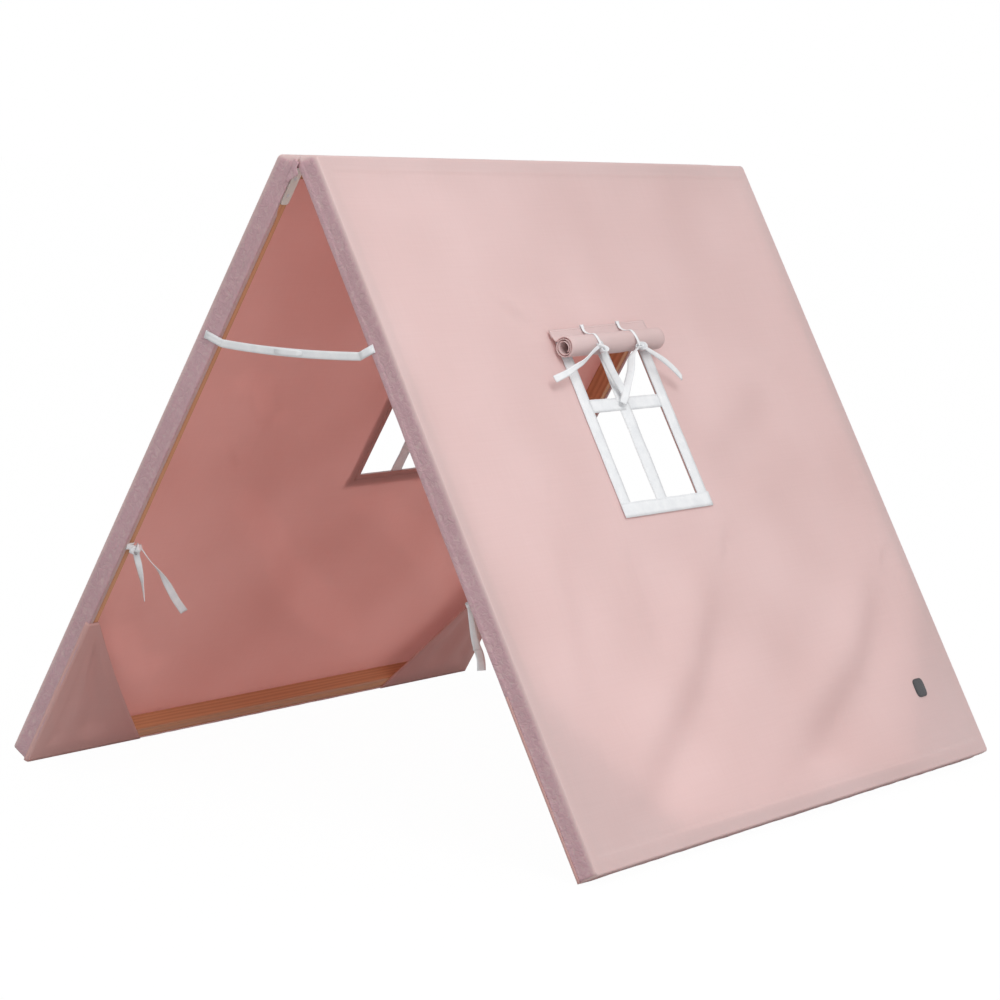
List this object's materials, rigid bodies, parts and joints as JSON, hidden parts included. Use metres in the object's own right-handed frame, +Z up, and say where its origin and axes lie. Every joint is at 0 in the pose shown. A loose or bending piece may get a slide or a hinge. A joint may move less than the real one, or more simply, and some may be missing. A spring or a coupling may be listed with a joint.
{
  "type": "play tent",
  "caption": "A-frame play tent: cotton-covered wooden panels hinged along the ridge, with rolled window flaps, white ties, end straps and open ends",
  "frame": {"origin": "middle of the footprint, on the floor, straight under the ridge", "axes": "+Z up, Y along the ridge with the strapped end seen in the picture towards -Y, X across the tent"},
  "size_m": [1.2048, 1.2066, 1.0299],
  "materials": {
    "cotton_canvas": "matt plain-weave cotton, dusty pink",
    "white_tape": "matt white cotton tape",
    "pine": "planed and oiled, edges eased",
    "zinc_plate": "zinc plated, satin",
    "plated_steel": "zinc plated, satin",
    "dark_felt": "matt, plain"
  },
  "bodies": {
    "right_panel": {"back_hinge_pin": "plated_steel", "back_hinge_right_leaf": "zinc_plate", "back_hinge_right_lower_screw": "plated_steel", "back_hinge_right_upper_screw": "plated_steel", "back_strap": "white_tape", "front_hinge_pin": "plated_steel", "front_hinge_right_leaf": "zinc_plate", "front_hinge_right_lower_screw": "plated_steel", "front_hinge_right_upper_screw": "plated_steel", "front_strap": "white_tape", "right_back_bottom_bolt": "plated_steel", "right_back_bottom_nut": "plated_steel", "right_back_flap_tie": "white_tape", "right_back_pocket": "cotton_canvas", "right_back_stile": "pine", "right_back_stile_tie": "white_tape", "right_back_top_bolt": "plated_steel", "right_back_top_nut": "plated_steel", "right_bottom_rail": "pine", "right_cover": "cotton_canvas", "right_front_bottom_bolt": "plated_steel", "right_front_bottom_nut": "plated_steel", "right_front_flap_tie": "white_tape", "right_front_pocket": "cotton_canvas", "right_front_stile": "pine", "right_front_stile_tie": "white_tape", "right_front_top_bolt": "plated_steel", "right_front_top_nut": "plated_steel", "right_patch": "dark_felt", "right_top_rail": "pine", "right_window_flap": "cotton_canvas", "right_window_trim": "white_tape"},
    "left_panel": {"back_hinge_left_leaf": "zinc_plate", "back_hinge_left_lower_screw": "plated_steel", "back_hinge_left_upper_screw": "plated_steel", "front_hinge_left_leaf": "zinc_plate", "front_hinge_left_lower_screw": "plated_steel", "front_hinge_left_upper_screw": "plated_steel", "left_back_bottom_bolt": "plated_steel", "left_back_bottom_nut": "plated_steel", "left_back_flap_tie": "white_tape", "left_back_pocket": "cotton_canvas", "left_back_stile": "pine", "left_back_stile_tie": "white_tape", "left_back_top_bolt": "plated_steel", "left_back_top_nut": "plated_steel", "left_bottom_rail": "pine", "left_cover": "cotton_canvas", "left_front_bottom_bolt": "plated_steel", "left_front_bottom_nut": "plated_steel", "left_front_flap_tie": "white_tape", "left_front_pocket": "cotton_canvas", "left_front_stile": "pine", "left_front_stile_tie": "white_tape", "left_front_top_bolt": "plated_steel", "left_front_top_nut": "plated_steel", "left_top_rail": "pine", "left_window_flap": "cotton_canvas", "left_window_trim": "white_tape"}
  },
  "joints": [
    {"name": "fold", "type": "hinge", "parent": "right_panel", "child": "left_panel", "pos_m": [0, 0, 1.01381], "axis": [0, -1, 0], "range_deg": [0, 57], "deforming": ["front_strap", "back_strap", "left_back_stile_tie", "left_front_stile_tie", "right_back_stile_tie", "right_front_stile_tie"]}
  ]
}
